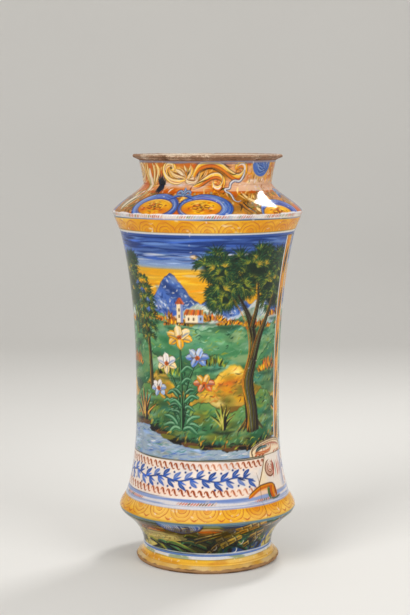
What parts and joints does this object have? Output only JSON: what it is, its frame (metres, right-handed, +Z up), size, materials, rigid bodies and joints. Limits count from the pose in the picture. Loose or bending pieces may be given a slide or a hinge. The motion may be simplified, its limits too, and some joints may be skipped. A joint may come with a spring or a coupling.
{
  "type": "albarello jar",
  "caption": "Tall waisted drug jar of tin-glazed earthenware with a flared lip, sloping shoulder, painted bands and a low foot ring.",
  "frame": {"origin": "centre of the foot ring's standing face", "axes": "+Z up along the jar's axis, the painted front faces -Y"},
  "size_m": [0.154, 0.154, 0.331],
  "materials": {
    "bare_clay": "bare fired clay, worn and slightly rough",
    "slip": "fired slip",
    "buff_glaze": "buff-white gloss glaze",
    "orange_glaze": "painted gloss glaze, orange ground",
    "yellow_glaze": "painted gloss glaze, yellow ground",
    "landscape_glaze": "painted gloss glaze, blue and green",
    "white_glaze": "white gloss glaze with blue leaves",
    "foliage_glaze": "painted gloss glaze, dark green"
  },
  "bodies": {
    "root": {"foot_ring": "bare_clay", "base_section": "bare_clay", "lower_body": "bare_clay", "upper_body": "bare_clay", "shoulder": "bare_clay", "neck": "bare_clay", "luting_slip": "slip", "inner_glaze": "buff_glaze", "neck_glaze": "orange_glaze", "shoulder_glaze": "orange_glaze", "upper_border_glaze": "yellow_glaze", "front_panel_glaze": "landscape_glaze", "back_panel_glaze": "landscape_glaze", "banner_glaze": "white_glaze", "lower_border_glaze": "yellow_glaze", "base_glaze": "foliage_glaze", "foot_glaze": "yellow_glaze"}
  },
  "joints": []
}
